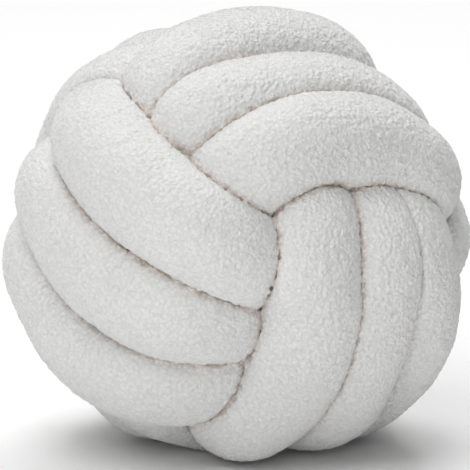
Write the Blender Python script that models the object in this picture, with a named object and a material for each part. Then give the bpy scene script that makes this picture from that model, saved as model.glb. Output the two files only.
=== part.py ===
"""Knot cushion: one long stuffed tube of cloth, knotted into a ball, with both ends tucked into its middle.

The tube is wound as a monkey's fist. It makes three turns round the ball in each of three square directions,
so that on each of the six sides three strands lie next to each other, over the three that cross beneath them.
A strand is round where it is free and flat where its neighbours press on it.

Metres, +Z up. The origin is the middle of the underside, on the surface that the ball rests on. -Y is the
front.
"""

import bmesh
import bpy
import numpy as np
from mathutils import Euler

MM = 0.001

# The ball
BALL_RADIUS = 0.150
BALL_TURN_DEG = (172.0, -64.4, -43.4)  # of the knot's own square axes in the world, about X, then Y, then Z
CENTRE_HEIGHT = 0.134  # of the ball's middle over the surface that it rests on
SAG = 0.008  # how far below that surface the ball would reach if it were stiff
PRESSED_HEIGHT = 0.010  # up to which the underside is pressed out of shape
FLAT_DEPTH = 0.003  # of what the surface then cuts flat

# The tube
TUBE_RADIUS = 0.0374  # where nothing presses on it
CLOTH_GAP = 0.0014  # left between two strands that press on each other
LEAST_RADIUS = 0.003  # of the tube where it is squeezed the hardest
PRESS_SHARPNESS = 7.0  # how suddenly the round of a strand turns into the flat where it is pressed
OWN_STRETCH = 0.015  # how much of the tube either way of a section doesn't press on it
END_ROUNDING = 0.025  # length over which a sewn end closes

# The way of a strand, as shares of the ball's radius
OVER_HEIGHT = 0.754  # of its middle over the ball's, where it lies outside
BEND_UP = 0.478  # where it has turned under the next band: this far up its old side
BEND_AHEAD = 0.460  # and this far out on its new one
BEND_SPREAD = 0.81  # how far apart the strands still are here
UNDER_HEIGHT = 0.446  # of its middle over the ball's, where it lies beneath
UNDER_REACH = 0.24  # how far from the middle of that side it is still this high
UNDER_SPREAD = 0.64  # how far apart the strands are here, where they are squeezed together

# Deep inside, where it is up the side of its band, ahead on it and across it, as shares of the ball's radius
FIRST_END = ((-0.08, -0.02, 0.05), (0.10, -0.30, 0.10))  # tucked in, and on its way out
LAST_END = ((-0.10, -0.25, 0.11), (0.02, -0.06, 0.06))  # on its way in, and tucked in
END_HEIGHT = 0.28  # at which an end passes beneath the next band
BAND_CORNER = (-0.33, -0.33, -0.30)  # that the tube turns from one band to the next

# The mesh
STRAIGHT_STEP = 0.040  # from one section to the next where the tube runs straight
BEND_STEP_DEG = 19.5  # that the tube turns at most from one section to the next
END_STEPS = 3
SIDES = 14
OVER_STEPS = (-1.0, -0.5, 0.0, 0.5, 1.0)  # of a strand's way over its side, from coming up to diving
UNDER_STEPS = ((1, 0.25), (0, 0.5), (-1, 0.75))  # beneath the next band: the place, and how far on it is
FIRST_SIDE = (0.3, 0.5, 0.8)  # any direction that the tube doesn't start along
LEAST_FACING = 1e-6
LINE_STEPS = 6000
PRESSING_STEPS = 900  # points of the middle line that a section is measured against

CLOTH_COLOUR = (0.84, 0.83, 0.81, 1.0)
CLOTH_ROUGHNESS = 0.95

# The three bands in the order in which the tube makes them. A turn runs over the side that "over" points to,
# from there goes "ahead" and under the next side, over the far side and back. "across" is the way along which
# the three strands of the band are set apart.
BANDS = {
    "left": {"over": (0, 1, 0), "ahead": (0, 0, 1), "across": (1, 0, 0)},
    "right": {"over": (0, 0, 1), "ahead": (1, 0, 0), "across": (0, 1, 0)},
    "top": {"over": (1, 0, 0), "ahead": (0, -1, 0), "across": (0, 0, 1)},
}

# How each strand lies on its side of the ball. In millimetres, how far it is set across its band where it
# comes up, in the middle and where it dives, and how much it lies over the others. In degrees, how far before
# the middle of its side it has come up, and how far after it it dives.
PASS_COLUMNS = ("band", "side", "comes_up", "middle", "dives", "rise", "before", "after")
PASSES = [
    ("left", "front", 57, 57, 56, 14, 22, 28),
    ("left", "back", 34, 38, 46, -4, 39, 20),
    ("left", "front", 6, -2, 1, 4, 35, 30),
    ("left", "back", -19, -19, -19, -12, 30, 30),
    ("left", "front", -42, -62, -55, 6, 35, 27),
    ("left", "back", -53, -53, -53, -1, 30, 30),
    ("right", "front", -67, -61, -39, 4, 23, 28),
    ("right", "back", -52, -52, -52, 0, 30, 30),
    ("right", "front", -17, -9, -15, 0, 26, 30),
    ("right", "back", 23, 23, 23, 5, 30, 30),
    ("right", "front", 34, 28, 35, -1, 40, 27),
    ("right", "back", 67, 54, 51, 6, 35, 30),
    ("top", "front", -45, -56, -46, 5, 33, 36),
    ("top", "back", -52, -52, -52, 0, 30, 30),
    ("top", "front", -6, 6, 21, -3, 38, 31),
    ("top", "back", 11, 11, 11, -4, 30, 30),
    ("top", "front", 45, 48, 58, 5, 24, 35),
    ("top", "back", 58, 52, 40, -10, 30, 22),
]


def clear_scene():
    """Takes every object out of the scene."""
    for thing in list(bpy.data.objects):
        bpy.data.objects.remove(thing)


def in_ball(band, up, ahead, across):
    """A point of a band in the ball's own square axes, in metres, from shares of the ball's radius."""
    axes = BANDS[band]
    over_part = up * np.array(axes["over"], float)
    ahead_part = ahead * np.array(axes["ahead"], float)
    across_part = across * np.array(axes["across"], float)
    return (over_part + ahead_part + across_part) * BALL_RADIUS


def over_points(row):
    """Five points of a strand as it crosses its side of the ball, on a circle about the ball's middle."""
    sign = 1.0 if row["side"] == "front" else -1.0
    height = OVER_HEIGHT + row["rise"] * MM / BALL_RADIUS
    points = []
    for step in OVER_STEPS:
        start_share = (step * step - step) / 2
        middle_share = 1 - step * step
        end_share = (step * step + step) / 2
        set_across = row["comes_up"] * start_share + row["middle"] * middle_share + row["dives"] * end_share
        across = set_across * MM / BALL_RADIUS
        radius = np.sqrt(height**2 - across**2)
        angle = np.radians(row["before"] if step < 0 else row["after"]) * step
        up = sign * radius * np.cos(angle)
        ahead = sign * radius * np.sin(angle)
        points.append(in_ball(row["band"], up, ahead, across))
    return points


def bend_point(band, up_sign, ahead_sign, set_across):
    """The point where a strand has turned in under the next band."""
    across = set_across * MM / BALL_RADIUS * BEND_SPREAD
    return in_ball(band, up_sign * BEND_UP, ahead_sign * BEND_AHEAD, across)


def beneath_point(band, up, ahead_sign, set_across):
    """A point of a strand that lies beneath the next band."""
    across = set_across * MM / BALL_RADIUS * UNDER_SPREAD
    return in_ball(band, up, ahead_sign * UNDER_HEIGHT, across)


def tube_route():
    """The points that the tube's middle line runs through."""
    rows = [dict(zip(PASS_COLUMNS, row)) for row in PASSES]
    points = [in_ball(rows[0]["band"], *place) for place in FIRST_END]
    points.append(beneath_point(rows[0]["band"], END_HEIGHT, -1, rows[0]["comes_up"]))
    for row, following in zip(rows, [*rows[1:], None]):
        sign = 1.0 if row["side"] == "front" else -1.0
        points.append(bend_point(row["band"], sign, -sign, row["comes_up"]))
        points.extend(over_points(row))
        points.append(bend_point(row["band"], sign, sign, row["dives"]))
        if following is None:
            points.append(beneath_point(row["band"], -END_HEIGHT, -1, row["dives"]))
            points.extend(in_ball(row["band"], *place) for place in LAST_END)
        elif following["band"] == row["band"]:
            for place, share in UNDER_STEPS:
                set_across = row["dives"] * (1 - share) + following["comes_up"] * share
                points.append(beneath_point(row["band"], sign * place * UNDER_REACH, sign, set_across))
        else:
            points.append(in_ball(following["band"], *BAND_CORNER))
            for place in (0.0, UNDER_REACH):
                points.append(beneath_point(following["band"], place, -1, following["comes_up"]))
    return np.array(points)


def smooth_line(points):
    """A natural cubic spline through the points, read at even steps, and how far along it each step is."""
    chord = np.linalg.norm(np.diff(points, axis=0), axis=1)
    knots = np.concatenate([[0.0], np.cumsum(chord)])
    count = len(points)
    matrix = np.eye(count)
    right_side = np.zeros((count, 3))
    slopes = np.diff(points, axis=0) / chord[:, None]
    for i in range(1, count - 1):
        matrix[i, i - 1 : i + 2] = chord[i - 1], 2 * (chord[i - 1] + chord[i]), chord[i]
        right_side[i] = 6 * (slopes[i] - slopes[i - 1])
    bend = np.linalg.solve(matrix, right_side)
    along = np.linspace(0.0, knots[-1], LINE_STEPS)
    i = np.clip(np.searchsorted(knots, along, side="right") - 1, 0, count - 2)
    x = (along - knots[i])[:, None]
    width = chord[i][:, None]
    slope = slopes[i] - width * (2 * bend[i] + bend[i + 1]) / 6
    line = points[i] + slope * x + bend[i] / 2 * x**2 + (bend[i + 1] - bend[i]) / (6 * width) * x**3
    step = np.linalg.norm(np.diff(line, axis=0), axis=1)
    return line, np.concatenate([[0.0], np.cumsum(step)])


def section_places(line, length):
    """Where along the tube its sections are: the more it bends, the closer together they are."""
    forward = np.gradient(line, length, axis=0)
    forward /= np.linalg.norm(forward, axis=1)[:, None]
    turned = np.arccos(np.clip((forward[1:] * forward[:-1]).sum(axis=1), -1.0, 1.0))
    steps = np.diff(length) / STRAIGHT_STEP + np.degrees(turned) / BEND_STEP_DEG
    total = np.concatenate([[0.0], np.cumsum(steps)])
    along = np.interp(np.arange(1, round(total[-1])) * total[-1] / round(total[-1]), total, length)
    along = along[(along > END_ROUNDING) & (along < length[-1] - END_ROUNDING)]
    angles = np.radians(90) * np.arange(1, END_STEPS + 1) / END_STEPS
    end = END_ROUNDING * (1 - np.cos(angles))
    return np.concatenate([end, along, (length[-1] - end)[::-1]])


def carried_frames(line):
    """At each point of the line two directions square to it and to each other, not twisted along the way."""
    forward = np.gradient(line, axis=0)
    forward /= np.linalg.norm(forward, axis=1)[:, None]
    side = np.zeros_like(line)
    first = np.cross(forward[0], FIRST_SIDE)
    side[0] = first / np.linalg.norm(first)
    for i in range(1, len(line)):
        carried = side[i - 1] - (side[i - 1] @ forward[i]) * forward[i]
        side[i] = carried / np.linalg.norm(carried)
    return side, np.cross(forward, side)


def at_places(values, length, places):
    """A line's values at these places along it."""
    return np.stack([np.interp(places, length, values[:, axis]) for axis in range(3)], axis=1)


def pressed_radius(centres, outward, places, line, line_places):
    """How far the cloth is from the tube's middle, for each section and each direction outward.

    It is the tube's free radius or, where another strand lies nearer than twice that, the distance to the
    plane midway between the two middle lines.
    """
    offset = line[None, :, :] - centres[:, None, :]
    square = (offset**2).sum(axis=2)
    apart = np.abs(line_places[None, :] - places[:, None]) > OWN_STRETCH
    towards = np.einsum("snk,sak->san", offset, outward)
    facing = (towards > LEAST_FACING) & apart[:, None, :]
    midway = np.where(facing, square[:, None, :] / (2 * np.maximum(towards, LEAST_FACING)), 1.0).min(axis=2)
    midway = np.maximum(midway - CLOTH_GAP / 2, LEAST_RADIUS)
    return (midway**-PRESS_SHARPNESS + TUBE_RADIUS**-PRESS_SHARPNESS) ** (-1 / PRESS_SHARPNESS)


def end_share(places, length):
    """How much of its radius a section keeps near a sewn end, which closes in a half round."""
    from_end = np.minimum(places, length - places)
    share = 1 - np.clip(from_end / END_ROUNDING, 0.0, 1.0)
    return np.sqrt(1 - share**2)


def settled(points):
    """The points as the ball lies: turned, lifted and flattened where it rests."""
    turn = np.array(Euler(np.radians(BALL_TURN_DEG)).to_matrix())
    placed = points @ turn.T
    height = placed[..., 2] + CENTRE_HEIGHT
    share = np.clip((height + SAG) / (PRESSED_HEIGHT + SAG), 0.0, 1.0)
    power = (PRESSED_HEIGHT + SAG) / (PRESSED_HEIGHT + FLAT_DEPTH)
    pressed = (PRESSED_HEIGHT + FLAT_DEPTH) * share**power - FLAT_DEPTH
    placed[..., 2] = np.where(height > PRESSED_HEIGHT, height, np.maximum(pressed, 0.0))
    return placed


def tube_sections():
    """The tube's sections as rings of points, and the two points that close its ends."""
    line, length = smooth_line(tube_route())
    places = section_places(line, length)
    side, other = carried_frames(line)
    centres = at_places(line, length, places)
    side_here = at_places(side, length, places)[:, None, :]
    other_here = at_places(other, length, places)[:, None, :]
    angles = np.linspace(0.0, 2 * np.pi, SIDES, endpoint=False)[None, :, None]
    outward = np.cos(angles) * side_here + np.sin(angles) * other_here
    line_places = np.linspace(0.0, length[-1], PRESSING_STEPS)
    radius = pressed_radius(centres, outward, places, at_places(line, length, line_places), line_places)
    radius = radius * end_share(places, length[-1])[:, None]
    rings = settled(centres[:, None, :] + radius[:, :, None] * outward)
    ends = settled(line[[0, -1]])
    middle = (rings.min(axis=(0, 1)) + rings.max(axis=(0, 1))) / 2 * (1, 1, 0)
    return rings - middle, ends - middle


def loft(name, rings, ends):
    """A closed object lofted through the rings and closed to a point at both ends."""
    mesh = bmesh.new()
    verts = [[mesh.verts.new(point) for point in ring] for ring in rings]
    first = mesh.verts.new(ends[0])
    last = mesh.verts.new(ends[1])
    sides = len(verts[0])
    for ring, following in zip(verts, verts[1:]):
        for i in range(sides):
            j = (i + 1) % sides
            mesh.faces.new((ring[i], ring[j], following[j], following[i]))
    for i in range(sides):
        j = (i + 1) % sides
        mesh.faces.new((first, verts[0][j], verts[0][i]))
        mesh.faces.new((last, verts[-1][i], verts[-1][j]))
    bmesh.ops.recalc_face_normals(mesh, faces=mesh.faces)
    data = bpy.data.meshes.new(name)
    mesh.to_mesh(data)
    mesh.free()
    return bpy.data.objects.new(name, data)


def cloth_material():
    """The soft white cloth of the tube."""
    material = bpy.data.materials.new("white curly cloth")
    material.use_nodes = True
    shader = material.node_tree.nodes["Principled BSDF"]
    shader.inputs["Base Color"].default_value = CLOTH_COLOUR
    shader.inputs["Roughness"].default_value = CLOTH_ROUGHNESS
    return material


def main():
    """Clears the scene and builds the cushion in its own collection."""
    clear_scene()
    collection = bpy.data.collections.new("knot_cushion")
    bpy.context.scene.collection.children.link(collection)
    rings, ends = tube_sections()
    tube = loft("knotted_tube", rings, ends)
    tube.data.materials.append(cloth_material())
    collection.objects.link(tube)


main()
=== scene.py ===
"""Looks of the knot cushion: one long stuffed tube of white curly fleece, knotted into a ball.

The tube's skin is worked out from the same sizes as the solid that it stands for, only finer, and
the curls of the fleece are raised on it. It is made in stretches that meet where the tube is hidden
inside the ball.

Metres, +Z up. The ball rests on the floor at the origin, and the camera looks along +Y.
"""

import logging
from dataclasses import dataclass, field
from enum import Enum

import bpy
import numpy as np
from mathutils import Euler, Matrix, Vector

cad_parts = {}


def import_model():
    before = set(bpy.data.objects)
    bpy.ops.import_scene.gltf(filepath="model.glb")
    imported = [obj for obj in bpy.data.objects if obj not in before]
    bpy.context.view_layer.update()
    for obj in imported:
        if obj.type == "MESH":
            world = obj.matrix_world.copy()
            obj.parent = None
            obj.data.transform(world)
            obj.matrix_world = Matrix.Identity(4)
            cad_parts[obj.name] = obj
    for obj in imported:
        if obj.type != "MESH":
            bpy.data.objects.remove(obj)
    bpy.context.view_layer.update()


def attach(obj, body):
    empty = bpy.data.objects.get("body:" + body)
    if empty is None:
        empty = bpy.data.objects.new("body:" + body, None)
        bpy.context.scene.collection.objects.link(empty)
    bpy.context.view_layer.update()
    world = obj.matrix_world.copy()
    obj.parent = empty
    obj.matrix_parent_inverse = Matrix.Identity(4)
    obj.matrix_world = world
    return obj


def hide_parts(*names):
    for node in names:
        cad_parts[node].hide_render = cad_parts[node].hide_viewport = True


MM = 0.001
CAD_NODE = "knotted_tube"
BODY = "root"

# A place or three turns, where something begins and ends, and one number or many.
Point = tuple[float, float, float]
Span = tuple[float, float]
Numbers = np.ndarray | float

log = logging.getLogger("knot_cushion")


# --------------------------------------------------------------------------------------------------
# The knot
# --------------------------------------------------------------------------------------------------


class Band(Enum):
    """The three bands of the knot, in the order in which the tube makes them.

    Each has three directions in the ball's own square axes. A turn runs over the side that the
    first points to, from there goes along the second and under the next side, over the far side and
    back. The third is the way along which the band's three strands are set apart.
    """

    LEFT = ((0, 1, 0), (0, 0, 1), (1, 0, 0))
    RIGHT = ((0, 0, 1), (1, 0, 0), (0, 1, 0))
    TOP = ((1, 0, 0), (0, -1, 0), (0, 0, 1))


class Side(Enum):
    """The two sides of the ball that a band runs over, with the sign of its first direction there."""

    FRONT = 1.0
    BACK = -1.0


@dataclass(frozen=True)
class Strand:
    """One strand on one side of the ball.

    Attributes:
        band: The band that it belongs to.
        side: The side that it lies on.
        comes_up: How far it is set across its band where it comes up, in millimetres.
        middle: The same in the middle of its side.
        dives: The same where it dives under the next band.
        rise: How much it lies over the other strands, in millimetres.
        before: How far before the middle of its side it has come up, in degrees round the ball.
        after: How far after the middle it dives, in degrees.
    """

    band: Band
    side: Side
    comes_up: float
    middle: float
    dives: float
    rise: float
    before: float
    after: float


# In the order in which the one tube makes them.
STRANDS = (
    Strand(Band.LEFT, Side.FRONT, 57, 57, 56, 14, 22, 28),
    Strand(Band.LEFT, Side.BACK, 34, 38, 46, -4, 39, 20),
    Strand(Band.LEFT, Side.FRONT, 6, -2, 1, 4, 35, 30),
    Strand(Band.LEFT, Side.BACK, -19, -19, -19, -12, 30, 30),
    Strand(Band.LEFT, Side.FRONT, -42, -62, -55, 6, 35, 27),
    Strand(Band.LEFT, Side.BACK, -53, -53, -53, -1, 30, 30),
    Strand(Band.RIGHT, Side.FRONT, -67, -61, -39, 4, 23, 28),
    Strand(Band.RIGHT, Side.BACK, -52, -52, -52, 0, 30, 30),
    Strand(Band.RIGHT, Side.FRONT, -17, -9, -15, 0, 26, 30),
    Strand(Band.RIGHT, Side.BACK, 23, 23, 23, 5, 30, 30),
    Strand(Band.RIGHT, Side.FRONT, 34, 28, 35, -1, 40, 27),
    Strand(Band.RIGHT, Side.BACK, 67, 54, 51, 6, 35, 30),
    Strand(Band.TOP, Side.FRONT, -45, -56, -46, 5, 33, 36),
    Strand(Band.TOP, Side.BACK, -52, -52, -52, 0, 30, 30),
    Strand(Band.TOP, Side.FRONT, -6, 6, 21, -3, 38, 31),
    Strand(Band.TOP, Side.BACK, 11, 11, 11, -4, 30, 30),
    Strand(Band.TOP, Side.FRONT, 45, 48, 58, 5, 24, 35),
    Strand(Band.TOP, Side.BACK, 58, 52, 40, -10, 30, 22),
)


@dataclass(frozen=True)
class Ball:
    """The ball that the tube is knotted into, and how it lies.

    Attributes:
        radius: Of the ball.
        turn_deg: How the knot's own square axes are turned, about X, then Y, then Z.
        centre_height: Of the ball's middle over the floor.
        sag: How far below the floor the ball would reach if it were stiff.
        pressed_height: Height up to which the underside is pressed out of shape.
        flat_depth: How much of it the floor then cuts flat.
    """

    radius: float = 0.150
    turn_deg: Point = (172.0, -64.4, -43.4)
    centre_height: float = 0.134
    sag: float = 0.008
    pressed_height: float = 0.010
    flat_depth: float = 0.003

    def turn(self) -> np.ndarray:
        """The matrix that turns the ball's own axes into the world's."""
        return np.array(Euler(np.radians(self.turn_deg)).to_matrix())

    def settled(self, points: np.ndarray) -> np.ndarray:
        """Turns the ball as it lies and flattens it where it rests.

        Up to the pressed height, what would reach below the floor by the sag is pushed up by a
        power curve that leaves the pressed height straight, and what is still below the floor is
        cut flat on it.

        Args:
            points: Points in the ball's own axes, along the last axis of the array.

        Returns:
            The same points in the world, with the floor at height 0.
        """
        placed = points @ self.turn().T
        height = placed[..., 2] + self.centre_height
        reach = self.pressed_height + self.sag
        kept = self.pressed_height + self.flat_depth
        share = np.clip((height + self.sag) / reach, 0.0, 1.0)
        pressed = kept * share ** (reach / kept) - self.flat_depth
        placed[..., 2] = np.where(height > self.pressed_height, height, np.maximum(pressed, 0.0))
        return placed


@dataclass(frozen=True)
class Route:
    """The way of the tube's middle line, in shares of the ball's radius.

    Attributes:
        ball: The ball that the tube makes.
        over_height: Of a strand's middle over the ball's, where it lies outside.
        bend_up: How far up its old side it is where it has turned in under the next band.
        bend_ahead: How far out on its new side it is there.
        bend_spread: How far apart the strands of a band still are there.
        under_height: Of its middle over the ball's, where it lies beneath.
        under_reach: How far from the middle of that side it is still this high.
        under_spread: How far apart the strands are there, where they are squeezed together.
        first_end: Where the first end is tucked in and comes out: up, ahead and across its band.
        last_end: The same for the last end, on its way in.
        end_height: At which an end passes beneath the next band.
        band_corner: Where the tube turns from one band to the next.
        line_steps: Points of the finished line.
    """

    ball: Ball
    over_height: float = 0.754
    bend_up: float = 0.478
    bend_ahead: float = 0.460
    bend_spread: float = 0.81
    under_height: float = 0.446
    under_reach: float = 0.24
    under_spread: float = 0.64
    first_end: tuple[Point, Point] = ((-0.08, -0.02, 0.05), (0.10, -0.30, 0.10))
    last_end: tuple[Point, Point] = ((-0.10, -0.25, 0.11), (0.02, -0.06, 0.06))
    end_height: float = 0.28
    band_corner: Point = (-0.33, -0.33, -0.30)
    line_steps: int = 6000

    def in_ball(self, band: Band, up: Numbers, ahead: Numbers, across: Numbers) -> np.ndarray:
        """Points of a band, in metres in the ball's own axes, from shares of the ball's radius."""
        shares = np.stack(np.broadcast_arrays(up, ahead, across), axis=-1)
        return shares @ np.array(band.value, float) * self.ball.radius

    def over(self, strand: Strand) -> np.ndarray:
        """Five points of a strand on its side of the ball.

        They lie on a circle round the ball's middle, at even angles before and after the middle of
        the side, and are set across the band by the parabola through the strand's three offsets.

        Args:
            strand: The strand.

        Returns:
            The points, one a row.
        """
        step = np.array((-1.0, -0.5, 0.0, 0.5, 1.0))
        ends = (step**2 - step) / 2 * strand.comes_up + (step**2 + step) / 2 * strand.dives
        across = (ends + (1 - step**2) * strand.middle) * MM / self.ball.radius
        circle = np.sqrt((self.over_height + strand.rise * MM / self.ball.radius) ** 2 - across**2)
        angle = np.radians(np.where(step < 0, strand.before, strand.after)) * step
        up = strand.side.value * circle * np.cos(angle)
        ahead = strand.side.value * circle * np.sin(angle)
        return self.in_ball(strand.band, up, ahead, across)

    def bend(self, strand: Strand, ahead_sign: float, set_across: float) -> np.ndarray:
        """The point where a strand has turned in under the next band, or turns out from the last one.

        Args:
            strand: The strand.
            ahead_sign: Of the new side, along the band's second direction.
            set_across: How far the strand is set across its band, in millimetres.

        Returns:
            The one point, as a row.
        """
        across = set_across * MM / self.ball.radius * self.bend_spread
        up = strand.side.value * self.bend_up
        return self.in_ball(strand.band, up, ahead_sign * self.bend_ahead, across)[None]

    def beneath(self, band: Band, up: Numbers, ahead_sign: float, set_across: Numbers) -> np.ndarray:
        """Points of a strand that lies beneath the next band, where it is set across by millimetres."""
        across = np.asarray(set_across) * MM / self.ball.radius * self.under_spread
        return self.in_ball(band, up, ahead_sign * self.under_height, across)

    def turned_back(self, strand: Strand, following: Strand) -> np.ndarray:
        """The way beneath the next band, from one strand to the following one of the same band.

        Args:
            strand: The strand that dives there.
            following: The strand that comes up after it.

        Returns:
            Three points, set across by even steps from the one strand to the other.
        """
        sign = strand.side.value
        share = np.array((0.25, 0.5, 0.75))
        up = sign * self.under_reach * np.array((1, 0, -1))
        set_across = strand.dives * (1 - share) + following.comes_up * share
        return self.beneath(strand.band, up, sign, set_across)

    def changed_band(self, following: Strand) -> np.ndarray:
        """The way round the corner deep inside, from one band to the first strand of the next.

        Args:
            following: That strand.

        Returns:
            Three points, the corner first.
        """
        corner = self.in_ball(following.band, *self.band_corner)[None]
        up = np.array((0.0, self.under_reach))
        return np.concatenate([corner, self.beneath(following.band, up, -1, following.comes_up)])

    def points(self) -> tuple[np.ndarray, np.ndarray]:
        """The points that the middle line runs through, and which of them lie halfway beneath.

        Returns:
            The points, and the number of the one at which the tube may be parted after each strand
            but the last.
        """
        first, last = STRANDS[0], STRANDS[-1]
        way = [self.in_ball(first.band, *np.transpose(self.first_end))]
        way.append(self.beneath(first.band, np.array((self.end_height,)), -1, first.comes_up))
        partings = []
        for strand, following in zip(STRANDS, (*STRANDS[1:], None)):
            sign = strand.side.value
            way.append(self.bend(strand, -sign, strand.comes_up))
            way.append(self.over(strand))
            way.append(self.bend(strand, sign, strand.dives))
            if following is None:
                break
            partings.append(sum(map(len, way)) + 1)
            same = following.band is strand.band
            way.append(self.turned_back(strand, following) if same else self.changed_band(following))
        way.append(self.beneath(last.band, np.array((-self.end_height,)), -1, last.dives))
        way.append(self.in_ball(last.band, *np.transpose(self.last_end)))
        return np.concatenate(way), np.array(partings)

    def line(self) -> tuple[np.ndarray, np.ndarray]:
        """The middle line as a natural cubic spline.

        The spline's second derivatives at the points solve the usual tridiagonal system: the change
        of slope at each inner point equals a sixth of the derivatives there and on both sides,
        weighted by the chords between them.

        Returns:
            The points of the line, and how far along the line each parting is.
        """
        points, partings = self.points()
        chord = np.linalg.norm(np.diff(points, axis=0), axis=1)
        knots = np.concatenate([[0.0], np.cumsum(chord)])
        slopes = np.diff(points, axis=0) / chord[:, None]
        count = len(points)
        inner = np.arange(1, count - 1)
        system = np.eye(count)
        system[inner, inner - 1] = chord[:-1]
        system[inner, inner] = 2 * (chord[:-1] + chord[1:])
        system[inner, inner + 1] = chord[1:]
        change = np.zeros((count, 3))
        change[1:-1] = 6 * np.diff(slopes, axis=0)
        second = np.linalg.solve(system, change)
        along = np.linspace(0.0, knots[-1], self.line_steps)
        i = np.clip(np.searchsorted(knots, along, side="right") - 1, 0, count - 2)
        x = (along - knots[i])[:, None]
        width = chord[i][:, None]
        slope = slopes[i] - width * (2 * second[i] + second[i + 1]) / 6
        third = (second[i + 1] - second[i]) / (6 * width)
        line = points[i] + slope * x + second[i] / 2 * x**2 + third * x**3
        return line, np.interp(knots[partings], along, distances(line))


# --------------------------------------------------------------------------------------------------
# Whole-array helpers
# --------------------------------------------------------------------------------------------------

# Large odd numbers that tell cells and seeds apart, and the shifts and factors that mix them.
CELL_FACTORS = np.array((73856093, 19349663, 83492791), np.uint32)
SEED_FACTOR = 40503
MIXING = ((16, 0x7FEB352D), (15, 0x846CA68B))
LAST_SHIFT = 16

# How much lower than the tallest one a tuft can be.
TUFT_SPREAD = 0.3


def distances(line: np.ndarray) -> np.ndarray:
    """How far along a line each of its points is, by the sum of the steps before it."""
    return np.concatenate([[0.0], np.cumsum(np.linalg.norm(np.diff(line, axis=0), axis=1))])


def unit(vectors: np.ndarray) -> np.ndarray:
    """Vectors divided by their own lengths."""
    return vectors / np.linalg.norm(vectors, axis=-1, keepdims=True)


def eased(values: np.ndarray, low: float, high: float) -> np.ndarray:
    """From 0 at low to 1 at high, by the curve three squares less two cubes."""
    share = np.clip((values - low) / (high - low), 0.0, 1.0)
    return share * share * (3 - 2 * share)


def softened(values: np.ndarray, spread: float) -> np.ndarray:
    """Values averaged along the first axis under a bell curve, with the ends held.

    Args:
        values: The values.
        spread: Of the bell curve, in steps between the values. It is cut off at three times that.

    Returns:
        As many values, averaged.
    """
    reach = int(3 * spread) + 1
    bell = np.exp(-0.5 * (np.arange(-reach, reach + 1) / spread) ** 2)
    bell /= bell.sum()
    before, after = values[:1].repeat(reach, axis=0), values[-1:].repeat(reach, axis=0)
    held = np.concatenate([before, values, after])
    total = np.zeros_like(values, dtype=float)
    for step, weight in enumerate(bell):
        total += weight * held[step : step + len(values)]
    return total


def at_places(values: np.ndarray, length: np.ndarray, places: np.ndarray) -> np.ndarray:
    """A line's values at these places along it, straight between its points."""
    return np.stack([np.interp(places, length, column) for column in values.T], axis=-1)


def cubic_weights(share: np.ndarray) -> tuple[np.ndarray, ...]:
    """The weights of four neighbours for a point this share of the way from the second to the third."""
    square, cube = share**2, share**3
    return (
        (-cube + 2 * square - share) / 2,
        (3 * cube - 5 * square + 2) / 2,
        (-3 * cube + 4 * square + share) / 2,
        (cube - square) / 2,
    )


def read_grid(grid: np.ndarray, row: np.ndarray, column: np.ndarray) -> np.ndarray:
    """A grid's values between its points, by the cubic through four neighbours each way.

    Args:
        grid: The values. Its columns go round, and its rows stop at both ends.
        row: Places in rows, one for each row of the result.
        column: Places in columns, one for each value of the result.

    Returns:
        One value for each place.
    """
    row_below = np.floor(row).astype(int)
    column_below = np.floor(column).astype(int)
    row_weights = cubic_weights(row - row_below)
    column_weights = cubic_weights(column - column_below)
    total = np.zeros_like(column)
    for i, row_weight in enumerate(row_weights):
        rows = np.clip(row_below + i - 1, 0, len(grid) - 1)[:, None]
        for j, column_weight in enumerate(column_weights):
            columns = (column_below + j - 1) % grid.shape[1]
            total += row_weight[:, None] * column_weight * grid[rows, columns]
    return total


def chances(cells: np.ndarray, seed: int) -> np.ndarray:
    """A number from 0 to 1 for each whole-numbered cell, the same in every run.

    The cell's three numbers are each multiplied by a large odd number and joined by exclusive or,
    and the result is shifted, joined to itself and multiplied twice more, so that neighbours come
    out unlike.

    Args:
        cells: The cells, three numbers each, along the last axis of the array.
        seed: Another one gives other numbers.

    Returns:
        One number for each cell.
    """
    keys = cells.astype(np.int64).astype(np.uint32) * CELL_FACTORS
    mixed = keys[..., 0] ^ keys[..., 1] ^ keys[..., 2] ^ np.uint32(seed * SEED_FACTOR)
    for shift, factor in MIXING:
        mixed = (mixed ^ (mixed >> np.uint32(shift))) * np.uint32(factor)
    return (mixed ^ (mixed >> np.uint32(LAST_SHIFT))) / np.float64(2**32)


def waves(points: np.ndarray, pitch: float, seed: int) -> np.ndarray:
    """Soft random waves: chances at the corners of cubic cells, eased between them.

    Args:
        points: Where they are wanted, along the last axis of the array.
        pitch: Of the cells.
        seed: Of the chances.

    Returns:
        A height from -1 to 1 for each point.
    """
    places = points / pitch
    cells = np.floor(places)
    share = eased(places - cells, 0.0, 1.0)
    total = np.zeros(points.shape[:-1])
    for corner in np.ndindex(2, 2, 2):
        weight = np.where(corner, share, 1 - share).prod(axis=-1)
        total += weight * chances(cells + corner, seed)
    return 2 * total - 1


def tufts(points: np.ndarray, pitch: float, seed: int) -> np.ndarray:
    """Rounded tufts packed side by side, one at a random place in each cubic cell.

    A tuft is a dome of a random height: that height less the square of the distance from its
    middle, in pitches. The highest dome at each point counts.

    Args:
        points: Where they are wanted, along the last axis of the array.
        pitch: Of the cells.
        seed: Of the places. The third one after it is the heights'.

    Returns:
        A height from 0 in the gaps to 1 at the tallest tops, for each point.
    """
    places = points / pitch
    cells = np.floor(places)
    highest = np.zeros(points.shape[:-1])
    for step in np.ndindex(3, 3, 3):
        cell = cells + step - 1
        middle = cell + np.stack([chances(cell, seed + axis) for axis in range(3)], axis=-1)
        top = 1 - TUFT_SPREAD + TUFT_SPREAD * chances(cell, seed + 3)
        highest = np.maximum(highest, top - ((places - middle) ** 2).sum(axis=-1))
    return highest


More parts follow.
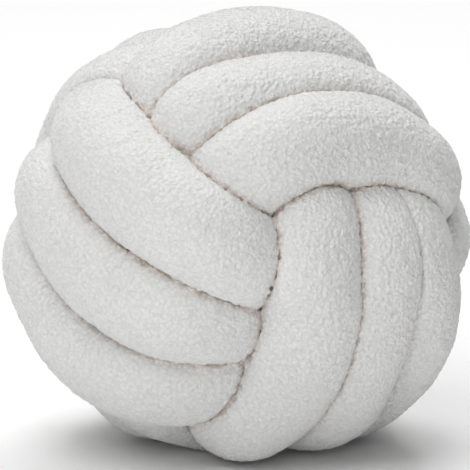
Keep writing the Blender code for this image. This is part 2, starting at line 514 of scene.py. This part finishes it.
def grid_normals(points: np.ndarray) -> np.ndarray:
    """The outward normals of a grid of points: the cross product of the ways round and along.

    Args:
        points: The grid. Its columns go round, and its rows run along.

    Returns:
        A unit vector for each point.
    """
    along = np.gradient(points, axis=0)
    around = np.roll(points, -1, axis=1) - np.roll(points, 1, axis=1)
    return unit(np.cross(around, along))


# --------------------------------------------------------------------------------------------------
# The tube
# --------------------------------------------------------------------------------------------------

# Halfway up a tuft or the pile.
MIDDLING = 0.5

# Metres: too near to count as in front, and too far off to press.
NEXT_TO_NOTHING = 1e-6
FAR_OFF = 1.0

# Sections that are measured against the whole line in one go, which keeps the arrays small.
SECTIONS_AT_ONCE = 48


@dataclass(frozen=True)
class Pile:
    """The curls of the fleece, as they are raised on the tube's skin.

    Attributes:
        curl_pitch: From one curl to the next.
        curl_height: Of a curl's top over the gaps between them.
        even_curl: Which share of that height is level with the even skin.
        swirl: How far the curls are shifted from their places, as a share of their pitch.
        patch_pitch: Of the patches in which the curls stand taller or lie flatter.
        patch_share: How much taller or flatter than middling they are there.
        clump_pitch: From one clump of curls to the next, where a crease presses them together.
        clump_height: Of a clump's top over the gaps between them.
        curl_seed: Of the curls' random places and heights.
        swirl_seed: Of the shifts.
        patch_seed: Of the patches.
        clump_seed: Of the clumps.
    """

    curl_pitch: float = 2.6 * MM
    curl_height: float = 2.1 * MM
    even_curl: float = 0.6
    swirl: float = 0.3
    patch_pitch: float = 11 * MM
    patch_share: float = 0.15
    clump_pitch: float = 3.9 * MM
    clump_height: float = 4.0 * MM
    curl_seed: int = 7
    swirl_seed: int = 17
    patch_seed: int = 27
    clump_seed: int = 47

    def heights(self, points: np.ndarray) -> np.ndarray:
        """The height of the pile: tufts at shifted places, taller in some patches than in others.

        Args:
            points: Points on the skin, in the ball's own axes.

        Returns:
            A height from 0 to 1 for each point.
        """
        shifts = [waves(points, self.curl_pitch, self.swirl_seed + axis) for axis in range(3)]
        shifted = points + np.stack(shifts, axis=-1) * self.curl_pitch * self.swirl
        patches = self.patch_share * waves(points, self.patch_pitch, self.patch_seed)
        return tufts(shifted, self.curl_pitch, self.curl_seed) * (1 - self.patch_share + patches)

    def relief(self, points: np.ndarray, heights: np.ndarray, crease: np.ndarray) -> np.ndarray:
        """How far the pile pushes the skin out: the curls over the even skin, and a crease's clumps.

        Args:
            points: Points on the skin, in the ball's own axes.
            heights: The height of the pile there, from 0 to 1.
            crease: How deep in a crease they lie, from 0 to 1, which is the clumps' share.

        Returns:
            A distance for each point, in metres.
        """
        clumps = tufts(points, self.clump_pitch, self.clump_seed) - MIDDLING
        return (heights - self.even_curl) * self.curl_height + crease * clumps * self.clump_height


@dataclass(frozen=True)
class Filling:
    """The unevenness of the stuffing under the cloth.

    Attributes:
        lump_pitch: Of the broad lumps.
        lump_height: Of the broad lumps over and under the even form.
        dent_pitch: Of the small dents.
        dent_height: Of the small dents over and under the even form.
        lump_seed: Of the lumps' random places.
        dent_seed: Of the dents'.
    """

    lump_pitch: float = 42 * MM
    lump_height: float = 0.9 * MM
    dent_pitch: float = 17 * MM
    dent_height: float = 0.35 * MM
    lump_seed: int = 31
    dent_seed: int = 32

    def heights(self, points: np.ndarray) -> np.ndarray:
        """How far the cloth is pushed out, in metres: broad waves and small ones added together."""
        lumps = self.lump_height * waves(points, self.lump_pitch, self.lump_seed)
        return lumps + self.dent_height * waves(points, self.dent_pitch, self.dent_seed)


@dataclass
class Skin:
    """The tube's finished surface as a grid: rows along the tube, columns round it.

    Attributes:
        points: Where each point is, in the world.
        crease: How deep in a crease each point lies, from 0 in the open to 1 where strands touch.
        pile: The height of the pile at each point, from 0 to 1.
        places: How far along the tube each row is.
    """

    points: np.ndarray
    crease: np.ndarray
    pile: np.ndarray
    places: np.ndarray


@dataclass
class KnottedTube:
    """The cushion's one stuffed tube: its skin, in stretches, with the fleece's curls raised on it.

    Attributes:
        ball: The ball that it makes.
        pile: The curls of the fleece.
        filling: The unevenness of the stuffing.
        tube_radius: Where nothing presses on it.
        pile_overlap: How far the curls of two strands that press on each other reach into each other.
        least_radius: Of the tube where it is squeezed the hardest.
        press_sharpness: How suddenly the round of a strand turns into the flat where it is pressed.
        own_stretch: How much of the tube either way of a section doesn't press on it.
        turn_spread: Length along which the outward directions are averaged.
        end_rounding: Length over which a sewn end closes.
        crease_room: Room beside a strand that makes it a crease at its deepest, and where it ends.
        crease_fade: From where to where a crease fades on the very outside, in the ball's radius.
        crease_calm: How much of the filling's unevenness is lost in a crease.
        free_shows: From which share of its free radius a pressed flank starts to show, and from
            which all of it shows.
        outer_shows: The same for how far out in the ball it lies, in the ball's radius.
        outside_shows: The same for the very outside, which shows however hard it is pressed.
        curls_from: How much of a point has to show for it to have curls.
        drawn_back_until: How much of a point shows when it isn't drawn back any more.
        pressing_steps: Points of the middle line that a section is measured against.
        coarse_step: Between the sections that the pressing is worked out for.
        coarse_sides: Directions that it is worked out for.
        fine_step: Between rows where the tube shows.
        hidden_step: Between rows where it doesn't.
        rows_close: How much of a section shows when its rows start to be close, and are closest.
        row_spread: Sections over which the change from wide rows to close ones is spread.
        sides: Columns of the finished skin.
        hidden_share: How close the columns are where the tube doesn't show, beside where it does.
        column_spread: Sections over which that change is spread.
        stretches: Pieces that the skin is made in, because a single mesh would be too heavy.
    """

    ball: Ball = field(default_factory=Ball)
    pile: Pile = field(default_factory=Pile)
    filling: Filling = field(default_factory=Filling)
    tube_radius: float = 0.0374
    pile_overlap: float = 0.0034
    least_radius: float = 0.003
    press_sharpness: float = 10.0
    own_stretch: float = 0.015
    turn_spread: float = 0.012
    end_rounding: float = 0.025
    crease_room: Span = (0.0, 9.0 * MM)
    crease_fade: Span = (0.94, 0.98)
    crease_calm: float = 0.7
    free_shows: Span = (0.74, 0.84)
    outer_shows: Span = (0.50, 0.62)
    outside_shows: Span = (0.90, 0.95)
    curls_from: float = 0.05
    drawn_back_until: float = 0.5
    pressing_steps: int = 900
    coarse_step: float = 0.004
    coarse_sides: int = 64
    fine_step: float = 1.05 * MM
    hidden_step: float = 4.5 * MM
    rows_close: Span = (0.1, 0.6)
    row_spread: float = 2.0
    sides: int = 116
    hidden_share: float = 0.2
    column_spread: float = 2.5
    stretches: int = 6

    def __post_init__(self) -> None:
        """Works out the middle line and the directions that go with it."""
        self.line, self.partings = Route(self.ball).line()
        self.length = distances(self.line)
        self.forward = unit(np.gradient(self.line, axis=0))
        self.outward = self.outward_directions()

    def square_to_line(self, vectors: np.ndarray) -> np.ndarray:
        """Vectors at the points of the line, less their parts along the line."""
        return vectors - (vectors * self.forward).sum(axis=1, keepdims=True) * self.forward

    def outward_directions(self) -> np.ndarray:
        """The directions square to the line that point away from the ball's middle.

        Each is the unit vector from the ball's middle less its part along the line. They are
        averaged along the line, so that they turn gently where the line itself points at the
        middle, and made square and of unit length again.

        Returns:
            A unit vector for each point of the line.
        """
        steps = self.turn_spread / self.length[-1] * len(self.line)
        gentle = softened(self.square_to_line(unit(self.line)), steps)
        return unit(self.square_to_line(gentle))

    def directions(self, places: np.ndarray, angles: np.ndarray) -> tuple[np.ndarray, np.ndarray]:
        """The middles of sections and the directions round them.

        Args:
            places: How far along the tube each section is.
            angles: From the outward direction, one row for each section.

        Returns:
            The middle of each section, and the unit vector for each angle: the outward direction by
            the cosine and the one square to it and to the line by the sine.
        """
        outward = at_places(self.outward, self.length, places)
        sideways = np.cross(at_places(self.forward, self.length, places), outward)
        cosines, sines = np.cos(angles)[..., None], np.sin(angles)[..., None]
        round_it = unit(cosines * outward[:, None] + sines * sideways[:, None])
        return at_places(self.line, self.length, places), round_it

    def pressed_radii(self, places: np.ndarray, angles: np.ndarray) -> tuple[np.ndarray, np.ndarray]:
        """How far the skin is from the middle line, for each section and each direction.

        It is the tube's free radius or, where another strand lies nearer than twice that, the
        distance to the plane midway between the two middle lines. The two are joined by the inverse
        root of the sum of inverse powers, which rounds the edge between round and flat.

        Args:
            places: How far along the tube each section is.
            angles: From the outward direction, one row for each section.

        Returns:
            The radii, and how far beyond the skin the midway plane is.
        """
        line_places = np.linspace(0.0, self.length[-1], self.pressing_steps)
        line = at_places(self.line, self.length, line_places)
        centres, round_it = self.directions(places, angles)
        midway = np.empty(angles.shape)
        for rows in np.array_split(np.arange(len(places)), len(places) // SECTIONS_AT_ONCE):
            offset = line - centres[rows, None]
            square = (offset**2).sum(axis=2)
            apart = np.abs(line_places - places[rows, None]) > self.own_stretch
            towards = round_it[rows] @ offset.transpose(0, 2, 1)
            facing = (towards > NEXT_TO_NOTHING) & apart[:, None]
            plane = square[:, None] / (2 * np.maximum(towards, NEXT_TO_NOTHING))
            midway[rows] = np.where(facing, plane, FAR_OFF).min(axis=2)
        midway = np.maximum(midway + self.pile_overlap / 2, self.least_radius)
        power = -self.press_sharpness
        radii = (midway**power + self.tube_radius**power) ** (1 / power)
        return radii, midway - radii

    def end_share(self, places: np.ndarray) -> np.ndarray:
        """How much of its radius a section keeps near a sewn end, which closes in a half round."""
        from_end = np.minimum(places, self.length[-1] - places)
        return np.sqrt(1 - (1 - np.clip(from_end / self.end_rounding, 0.0, 1.0)) ** 2)

    def showing(self, places: np.ndarray, angles: np.ndarray, radii: np.ndarray) -> np.ndarray:
        """How much of the tube shows.

        It shows where it is hardly pressed and lies well out from the ball's middle, and on the
        very outside of the ball however hard it is pressed.

        Args:
            places: How far along the tube each section is.
            angles: From the outward direction, one row for each section.
            radii: From the middle line to the skin.

        Returns:
            A share from 0 to 1 for each section and direction.
        """
        centres, round_it = self.directions(places, angles)
        points = centres[:, None] + radii[..., None] * round_it
        from_middle = np.linalg.norm(points, axis=2) / self.ball.radius
        free = eased(radii / self.tube_radius, *self.free_shows)
        outer = eased(from_middle, *self.outer_shows)
        return np.maximum(free * outer, eased(from_middle, *self.outside_shows))

    def fine_places(self, places: np.ndarray, shown: np.ndarray) -> np.ndarray:
        """Where the rows of the skin are: close together where some of the section shows.

        The rows stand where the sum of the wanted rows a metre along the tube passes each whole
        number and a half, and there is one more at each parting.

        Args:
            places: How far along the tube each coarse section is.
            shown: How much of it shows in each direction.

        Returns:
            How far along the tube each row is.
        """
        close = eased(softened(shown.max(axis=1), self.row_spread), *self.rows_close)
        a_metre = 1 / self.hidden_step + (1 / self.fine_step - 1 / self.hidden_step) * close
        sums = np.cumsum((a_metre[1:] + a_metre[:-1]) / 2 * np.diff(places))
        total = np.concatenate([[0.0], sums])
        rows = np.interp(np.arange(0.5, total[-1]), total, places)
        return np.sort(np.concatenate([rows, self.parted()]))

    def parted(self) -> np.ndarray:
        """Where along the tube one stretch ends and the next begins."""
        every = len(STRANDS) // self.stretches
        return self.partings[every - 1 :: every]

    def fine_angles(self, row: np.ndarray, shown: np.ndarray) -> np.ndarray:
        """The angles of each row's columns: close together where the tube shows, and else wide apart.

        The columns stand at even shares of the sum of the wanted closeness round the section.

        Args:
            row: Where each row of the skin lies among the coarse sections, in sections.
            shown: How much of each coarse section shows in each direction.

        Returns:
            From the outward direction, one row for each row of the skin.
        """
        close = self.hidden_share + (1 - self.hidden_share) * softened(shown, self.column_spread)
        below = np.floor(row).astype(int)
        share = (row - below)[:, None]
        above = np.minimum(below + 1, len(close) - 1)
        close = close[below] * (1 - share) + close[above] * share
        sums = np.concatenate([np.zeros((len(row), 1)), np.cumsum(close, axis=1)], axis=1)
        wanted = np.arange(self.sides) / self.sides * sums[:, -1:]
        found = [np.searchsorted(total, want, side="right") for total, want in zip(sums, wanted)]
        next_side = np.stack(found)
        low = np.take_along_axis(sums, next_side - 1, axis=1)
        high = np.take_along_axis(sums, next_side, axis=1)
        step = 2 * np.pi / close.shape[1]
        return (next_side - 1 + (wanted - low) / (high - low)) * step - np.pi

    def raised(
        self, even: np.ndarray, crease: np.ndarray, shows: np.ndarray
    ) -> tuple[np.ndarray, np.ndarray]:
        """How far the skin stands out from its even form.

        The filling's unevenness, less of it in a crease, and the pile's relief are added up. Where
        the tube doesn't show, it has no pile and is drawn back, so that it can't come out through
        its neighbour.

        Args:
            even: The even form's points, in the ball's own axes.
            crease: How deep in a crease each one lies.
            shows: How much of each one shows.

        Returns:
            A distance for each point, in metres, and the height of the pile there, from 0 to 1.
        """
        seen = shows > self.curls_from
        pile = np.full(shows.shape, MIDDLING)
        pile[seen] = self.pile.heights(even[seen])
        drawn_back = self.pile_overlap * (1 - eased(shows, 0.0, self.drawn_back_until))
        relief = self.filling.heights(even) * (1 - self.crease_calm * crease) - drawn_back
        relief[seen] += self.pile.relief(even[seen], pile[seen], crease[seen])
        return relief, pile

    def skin(self) -> Skin:
        """Works out the whole skin.

        The pressing is worked out for a coarse grid and read from it between its points for the
        fine one. The relief is then added along the normals.

        Returns:
            The skin, settled on the floor with the middle of its even form over the origin.
        """
        places = np.linspace(0.0, self.length[-1], round(self.length[-1] / self.coarse_step))
        angle = np.arange(self.coarse_sides) * 2 * np.pi / self.coarse_sides - np.pi
        angles = np.tile(angle, (len(places), 1))
        radii, room = self.pressed_radii(places, angles)
        shown = self.showing(places, angles, radii)

        fine_places = self.fine_places(places, shown)
        row = fine_places / places[1]
        fine_angles = self.fine_angles(row, shown)
        column = (fine_angles + np.pi) / (2 * np.pi) * self.coarse_sides
        radius = np.clip(read_grid(radii, row, column), self.least_radius, self.tube_radius)
        end_share = self.end_share(fine_places)[:, None]
        centres, round_it = self.directions(fine_places, fine_angles)
        even = centres[:, None] + (radius * end_share)[..., None] * round_it

        from_middle = np.linalg.norm(even, axis=2) / self.ball.radius
        crease = 1 - eased(read_grid(room, row, column), *self.crease_room)
        crease *= 1 - eased(from_middle, *self.crease_fade)
        relief, pile = self.raised(even, crease, read_grid(shown, row, column))
        points = self.ball.settled(even)
        middle = (points.min(axis=(0, 1)) + points.max(axis=(0, 1))) / 2 * (1, 1, 0)
        points = points - middle + (relief * end_share)[..., None] * grid_normals(points)
        points[..., 2] = np.maximum(points[..., 2], 0.0)
        return Skin(points, crease, pile, fine_places)

    def stretch_rows(self, skin: Skin) -> list[slice]:
        """The rows of each stretch. Neighbouring stretches share the row where the tube is parted."""
        cuts = [0, *np.searchsorted(skin.places, self.parted()), len(skin.places) - 1]
        return [slice(low, high + 1) for low, high in zip(cuts, cuts[1:])]

    def mesh(self, name: str, skin: Skin, rows: slice) -> bpy.types.Mesh:
        """A closed mesh of one stretch: four-sided faces, and a fan of three-sided ones at each end.

        Args:
            name: Of the mesh.
            skin: The whole skin.
            rows: The stretch's rows.

        Returns:
            The mesh, smooth, with the crease and pile of each point as attributes.
        """
        points = skin.points[rows]
        count, sides = points.shape[:2]
        ring = np.arange(count * sides).reshape(count, sides)
        following = np.roll(ring, -1, axis=1)
        quads = np.stack([ring[:-1], following[:-1], following[1:], ring[1:]], axis=-1).reshape(-1, 4)
        hubs = count * sides + np.arange(2)
        first = np.stack([np.full(sides, hubs[0]), following[0], ring[0]], axis=-1)
        last = np.stack([np.full(sides, hubs[1]), ring[-1], following[-1]], axis=-1)
        corners = np.concatenate([quads.ravel(), first.ravel(), last.ravel()])
        starts = np.concatenate([np.arange(len(quads)) * 4, quads.size + np.arange(2 * sides) * 3])
        places = np.concatenate([points.reshape(-1, 3), points[[0, -1]].mean(axis=1)])
        mesh = bpy.data.meshes.new(name)
        mesh.vertices.add(len(places))
        mesh.vertices.foreach_set("co", places.astype(np.float32).ravel())
        mesh.loops.add(len(corners))
        mesh.loops.foreach_set("vertex_index", corners.astype(np.int32))
        mesh.polygons.add(len(starts))
        mesh.polygons.foreach_set("loop_start", starts.astype(np.int32))
        mesh.update(calc_edges=True)
        mesh.shade_smooth()
        for word, grid, at_hub in (("crease", skin.crease, 1.0), ("pile", skin.pile, MIDDLING)):
            values = np.append(grid[rows].ravel(), (at_hub, at_hub)).astype(np.float32)
            mesh.attributes.new(word, "FLOAT", "POINT").data.foreach_set("value", values)
        return mesh

    def build(self, material: bpy.types.Material) -> None:
        """Makes each stretch of the tube as a piece of its own and dresses it.

        Args:
            material: The fleece.
        """
        skin = self.skin()
        for number, rows in enumerate(self.stretch_rows(skin), start=1):
            name = f"tube_stretch_{number}"
            mesh = self.mesh(name, skin, rows)
            mesh.materials.append(material)
            piece = bpy.data.objects.new(name, mesh)
            bpy.context.scene.collection.objects.link(piece)
            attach(piece, BODY)
            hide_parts(CAD_NODE)
            log.info("%s: %d faces", name, len(mesh.polygons))


# --------------------------------------------------------------------------------------------------
# Finishes
# --------------------------------------------------------------------------------------------------


def linear(hex_colour: str) -> tuple[float, float, float, float]:
    """An sRGB hex colour as linear light, with full alpha, by the sRGB curve.

    Args:
        hex_colour: Such as #FFFFFF.

    Returns:
        Red, green, blue and alpha.
    """
    shares = np.array([int(hex_colour[i : i + 2], 16) / 255 for i in (1, 3, 5)])
    light = np.where(shares <= 0.04045, shares / 12.92, ((shares + 0.055) / 1.055) ** 2.4)
    return (*light.tolist(), 1.0)


def add_node(
    tree: bpy.types.NodeTree, kind: str, settings: dict | None = None, links: dict | None = None
) -> bpy.types.Node:
    """Adds a node with its settings and links.

    Args:
        tree: The node tree.
        kind: The node's type, such as ShaderNodeMath.
        settings: Values by name: of the node itself, or of an input if the name or number is one.
        links: Output sockets by the name or number of the input that they go to.

    Returns:
        The node.
    """
    node = tree.nodes.new(kind)
    for name, value in (settings or {}).items():
        if isinstance(name, str) and hasattr(node, name):
            setattr(node, name, value)
        else:
            node.inputs[name].default_value = value
    for name, socket in (links or {}).items():
        tree.links.new(socket, node.inputs[name])
    return node


def new_material(name: str, inputs: dict) -> tuple[bpy.types.Material, bpy.types.Node]:
    """Makes a material.

    Args:
        name: What it is and how its surface was made.
        inputs: Values of its surface shader's inputs, by name.

    Returns:
        The material and its surface shader.
    """
    material = bpy.data.materials.new(name)
    material.use_nodes = True
    shader = material.node_tree.nodes["Principled BSDF"]
    for word, value in inputs.items():
        shader.inputs[word].default_value = value
    return material, shader


@dataclass(frozen=True)
class CurlyFleece:
    """Knitted polyester curly fleece, undyed white: loops brushed up into small tight curls.

    It gives the eye a matt, softly pebbled white with light caught in the tips of the curls, and a
    faint glow along every edge. The colour holds painted shade: the gaps between the curls are painted
    a little darker than the tips, and down in the creases the tips get a warm painted bounce light and
    the gaps painted shade, which stand for the light that has gone from fibre to fibre.

    Attributes:
        tips: Colour of the curls' tips.
        gaps: Colour between the curls: painted shade, a little darker than the tips.
        creases: Colour of the curls' tips down in the creases: painted bounce light, warmer and paler
            than the tips.
        crease_painted_shade: Colour between the curls down there: painted shade.
        painted_crease_power: Of the depth in a crease that mixes these painted colours in. Over 1 it
            keeps them narrow.
        tip_heights: Height of a curl where the painted shade of the gaps ends, and where the tips'
            colour begins.
        pile_share: How much the raised pile adds to that height.
        roughness: Of the fibres.
        mirroring: How much the fibres mirror. A plain plastic has 0.5.
        sheen: Weight of the soft glow along the edges.
        sheen_roughness: How wide that glow is.
        glow: Share of the light that goes on from fibre to fibre under the surface.
        glow_reach: How far it goes.
        curl_pitch: From curl to curl.
        curl_drift: How far the curls are shifted from their places, as a share of their pitch.
        curl_blend: How much neighbouring curls run together.
        dome: How far a gap, and a curl's flat top, are from the curl's middle, in pitches.
        fibre_pitch: Of the finer loops on a curl. Real fibres are a tenth of that and too fine to
            show.
        fibre_height: Of the finer loops beside the curls'.
        relief: Depth of the curls in the bump.
        relief_strength: How much of that bump is used.
    """

    tips: str = "#EFEFEE"
    # Painted shade: the colour between the curls is darker than the tips.
    gaps: str = "#E3E3E2"
    # Painted bounce light on the tips and painted shade between the curls, down in the creases.
    creases: str = "#FBF1E9"
    crease_painted_shade: str = "#DACBBE"
    painted_crease_power: float = 1.5
    tip_heights: Span = (0.25, 0.95)
    pile_share: float = 0.12
    roughness: float = 0.95
    mirroring: float = 0.2
    sheen: float = 0.7
    sheen_roughness: float = 0.45
    glow: float = 0.3
    glow_reach: float = 4 * MM
    curl_pitch: float = 2.6 * MM
    curl_drift: float = 0.6
    curl_blend: float = 0.2
    dome: Span = (0.75, 0.1)
    fibre_pitch: float = 0.9 * MM
    fibre_height: float = 0.35
    relief: float = 1.0 * MM
    relief_strength: float = 0.8

    def material(self) -> bpy.types.Material:
        """The fleece as a Blender material.

        Returns:
            The material, which reads Object coordinates and the crease and pile attributes.
        """
        surface = {
            "Roughness": self.roughness,
            "Sheen Weight": self.sheen,
            "Sheen Roughness": self.sheen_roughness,
            "Specular IOR Level": self.mirroring,
            "Subsurface Weight": self.glow,
            "Subsurface Radius": (self.glow_reach,) * 3,
            "Subsurface Scale": 1.0,
        }
        material, shader = new_material("white curly fleece", surface)
        tree = material.node_tree
        height = self.curl_height(tree)
        bump = {"Distance": self.relief, "Strength": self.relief_strength}
        normal = add_node(tree, "ShaderNodeBump", bump, {"Height": height}).outputs["Normal"]
        tree.links.new(normal, shader.inputs["Normal"])
        tree.links.new(self.colour(tree, height), shader.inputs["Base Color"])
        return material

    def curl_height(self, tree: bpy.types.NodeTree) -> bpy.types.NodeSocket:
        """The height of the small curls: domes at shifted places, with the finer loops added.

        Args:
            tree: The material's nodes.

        Returns:
            A height from 0 in the gaps to 1 on the curls' tops, and the finer loops over it.
        """
        place = add_node(tree, "ShaderNodeTexCoord").outputs["Object"]
        swirl = add_node(
            tree,
            "ShaderNodeTexNoise",
            {"Scale": 1 / self.curl_pitch, "Detail": 1.0},
            {"Vector": place},
        )
        drift = add_node(
            tree,
            "ShaderNodeVectorMath",
            {"operation": "MULTIPLY_ADD", 1: (self.curl_pitch * self.curl_drift,) * 3},
            {0: swirl.outputs["Color"], 2: place},
        )
        curls = add_node(
            tree,
            "ShaderNodeTexVoronoi",
            {"feature": "SMOOTH_F1", "Scale": 1 / self.curl_pitch, "Smoothness": self.curl_blend},
            {"Vector": drift.outputs[0]},
        )
        fibres = add_node(
            tree,
            "ShaderNodeTexNoise",
            {"Scale": 1 / self.fibre_pitch, "Detail": 2.0},
            {"Vector": place},
        )
        domes = add_node(
            tree,
            "ShaderNodeMapRange",
            {"From Min": self.dome[0], "From Max": self.dome[1]},
            {"Value": curls.outputs["Distance"]},
        )
        return add_node(
            tree,
            "ShaderNodeMath",
            {"operation": "MULTIPLY_ADD", 1: self.fibre_height},
            {0: fibres.outputs["Fac"], 2: domes.outputs["Result"]},
        ).outputs[0]

    def colour(self, tree: bpy.types.NodeTree, height: bpy.types.NodeSocket) -> bpy.types.NodeSocket:
        """The colour: painted shade between the curls, and painted bounce light and shade in the
        creases.

        Args:
            tree: The material's nodes.
            height: Of the small curls.

        Returns:
            The mix of the gaps' painted shade and the tips' colour by the height, and of that with the
            same mix of painted bounce light and painted shade for the creases by the depth in a crease.
        """
        crease, pile = (
            add_node(tree, "ShaderNodeAttribute", {"attribute_name": word}).outputs["Fac"]
            for word in ("crease", "pile")
        )
        both = add_node(
            tree,
            "ShaderNodeMath",
            {"operation": "MULTIPLY_ADD", 1: self.pile_share},
            {0: pile, 2: height},
        )
        # Painted shade between the curls: the lower the curl and the pile, the more of the gaps' darker
        # colour.
        tip_share = add_node(
            tree,
            "ShaderNodeMapRange",
            {"From Min": self.tip_heights[0], "From Max": self.tip_heights[1]},
            {"Value": both.outputs[0]},
        )
        pale, warm = (
            add_node(
                tree,
                "ShaderNodeMix",
                {"data_type": "RGBA", 6: linear(between), 7: linear(on_top)},
                {0: tip_share.outputs["Result"]},
            )
            for between, on_top in ((self.gaps, self.tips), (self.crease_painted_shade, self.creases))
        )
        # Painted bounce light and painted shade, mixed in by the depth in a crease.
        deep = add_node(
            tree, "ShaderNodeMath", {"operation": "POWER", 1: self.painted_crease_power}, {0: crease}
        )
        return add_node(
            tree,
            "ShaderNodeMix",
            {"data_type": "RGBA"},
            {0: deep.outputs[0], 6: pale.outputs[2], 7: warm.outputs[2]},
        ).outputs[2]


@dataclass(frozen=True)
class PaleFloor:
    """Matt white painted board: even and without a shine, so that it sends soft light back up.

    Attributes:
        colour: Of the paint.
        roughness: Of the paint.
        mirroring: How much it mirrors.
        size: Of the board's sides.
    """

    colour: str = "#FFFFFF"
    roughness: float = 1.0
    mirroring: float = 0.0
    size: float = 12.0

    def build(self) -> None:
        """Lays the floor at height 0."""
        half = self.size / 2
        corners = np.array(((-half, -half, 0), (half, -half, 0), (half, half, 0), (-half, half, 0)))
        mesh = bpy.data.meshes.new("floor")
        mesh.from_pydata(corners.tolist(), [], [(0, 1, 2, 3)])
        surface = {
            "Base Color": linear(self.colour),
            "Roughness": self.roughness,
            "Specular IOR Level": self.mirroring,
        }
        mesh.materials.append(new_material("matt white paint", surface)[0])
        floor = bpy.data.objects.new("floor", mesh)
        bpy.context.scene.collection.objects.link(floor)


# --------------------------------------------------------------------------------------------------
# The studio
# --------------------------------------------------------------------------------------------------


@dataclass(frozen=True)
class Softbox:
    """A square soft light that points at the ball.

    Attributes:
        name: Of the light.
        azimuth: Of its place round the ball, in degrees: 0 in front, 90 at the right.
        elevation: Of its place over the floor, in degrees.
        distance: From the ball.
        size: Of its sides.
        power: In watts.
    """

    name: str
    azimuth: float
    elevation: float
    distance: float
    size: float
    power: float

    def build(self, target: Vector) -> None:
        """Hangs the light and turns it to the target.

        Args:
            target: The point that it is turned to.
        """
        azimuth, elevation = np.radians((self.azimuth, self.elevation))
        level = np.cos(elevation)
        away = Vector((np.sin(azimuth) * level, -np.cos(azimuth) * level, np.sin(elevation)))
        light = bpy.data.lights.new(self.name, "AREA")
        light.size = self.size
        light.energy = self.power
        lamp = bpy.data.objects.new(self.name, light)
        lamp.location = target + away * self.distance
        lamp.rotation_euler = away.to_track_quat("Z", "Y").to_euler()
        bpy.context.scene.collection.objects.link(lamp)


@dataclass(frozen=True)
class Studio:
    """The soft white light round the ball, and the camera in front of it.

    Attributes:
        softboxes: The lights.
        surround_colour: Of the surroundings.
        surround: How bright the surroundings are.
        aim: The point in the middle of the picture.
        elevation_deg: Of the camera over the horizon.
        frame_width: Of what the picture shows at the aim.
        camera_distance: From the aim: far off, because the photograph was taken with a long lens.
        camera_reach: How far the camera sees.
        sensor_width: Of the camera, in millimetres.
    """

    softboxes: tuple[Softbox, ...] = (
        Softbox("upper_left_light", -34, 57, 4.0, 3.1, 82),
        Softbox("front_light", -5, 8, 2.2, 1.6, 14.5),
        Softbox("upper_back_light", 180, 65, 4.0, 3.1, 124),
        Softbox("back_right_light", 130, 52, 4.0, 3.1, 10),
    )
    surround_colour: str = "#FFFFFF"
    surround: float = 0.02
    aim: Point = (-0.0008, 0.0050, 0.1386)
    elevation_deg: float = 12.0
    frame_width: float = 0.3079
    camera_distance: float = 6.0
    camera_reach: float = 100.0
    sensor_width: float = 36.0

    def build(self) -> None:
        """Sets up the surroundings, the lights, the camera and the plain view of colours."""
        scene = bpy.context.scene
        scene.view_settings.view_transform = "Standard"
        world = bpy.data.worlds.new("white surroundings")
        world.use_nodes = True
        background = world.node_tree.nodes["Background"]
        background.inputs["Color"].default_value = linear(self.surround_colour)
        background.inputs["Strength"].default_value = self.surround
        scene.world = world
        for softbox in self.softboxes:
            softbox.build(Vector(self.aim))
        self.place_camera()

    def place_camera(self) -> None:
        """Puts the camera in front of the ball, at the photograph's angle.

        The lens is the sensor's width times the distance over the width of what the picture shows.
        """
        elevation = np.radians(self.elevation_deg)
        back = Vector((0, -np.cos(elevation), np.sin(elevation)))
        data = bpy.data.cameras.new("camera")
        data.sensor_width = self.sensor_width
        data.lens = self.sensor_width * self.camera_distance / self.frame_width
        data.clip_end = self.camera_reach
        camera = bpy.data.objects.new("camera", data)
        place = Matrix.Translation(Vector(self.aim) + back * self.camera_distance)
        camera.matrix_world = place @ back.to_track_quat("Z", "Y").to_matrix().to_4x4()
        bpy.context.scene.collection.objects.link(camera)
        bpy.context.scene.camera = camera


def main() -> None:
    """Builds the studio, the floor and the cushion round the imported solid."""
    logging.basicConfig(level=logging.INFO, format="%(name)s: %(message)s")
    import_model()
    Studio().build()
    PaleFloor().build()
    KnottedTube().build(CurlyFleece().material())


if __name__ == "__main__":
    main()
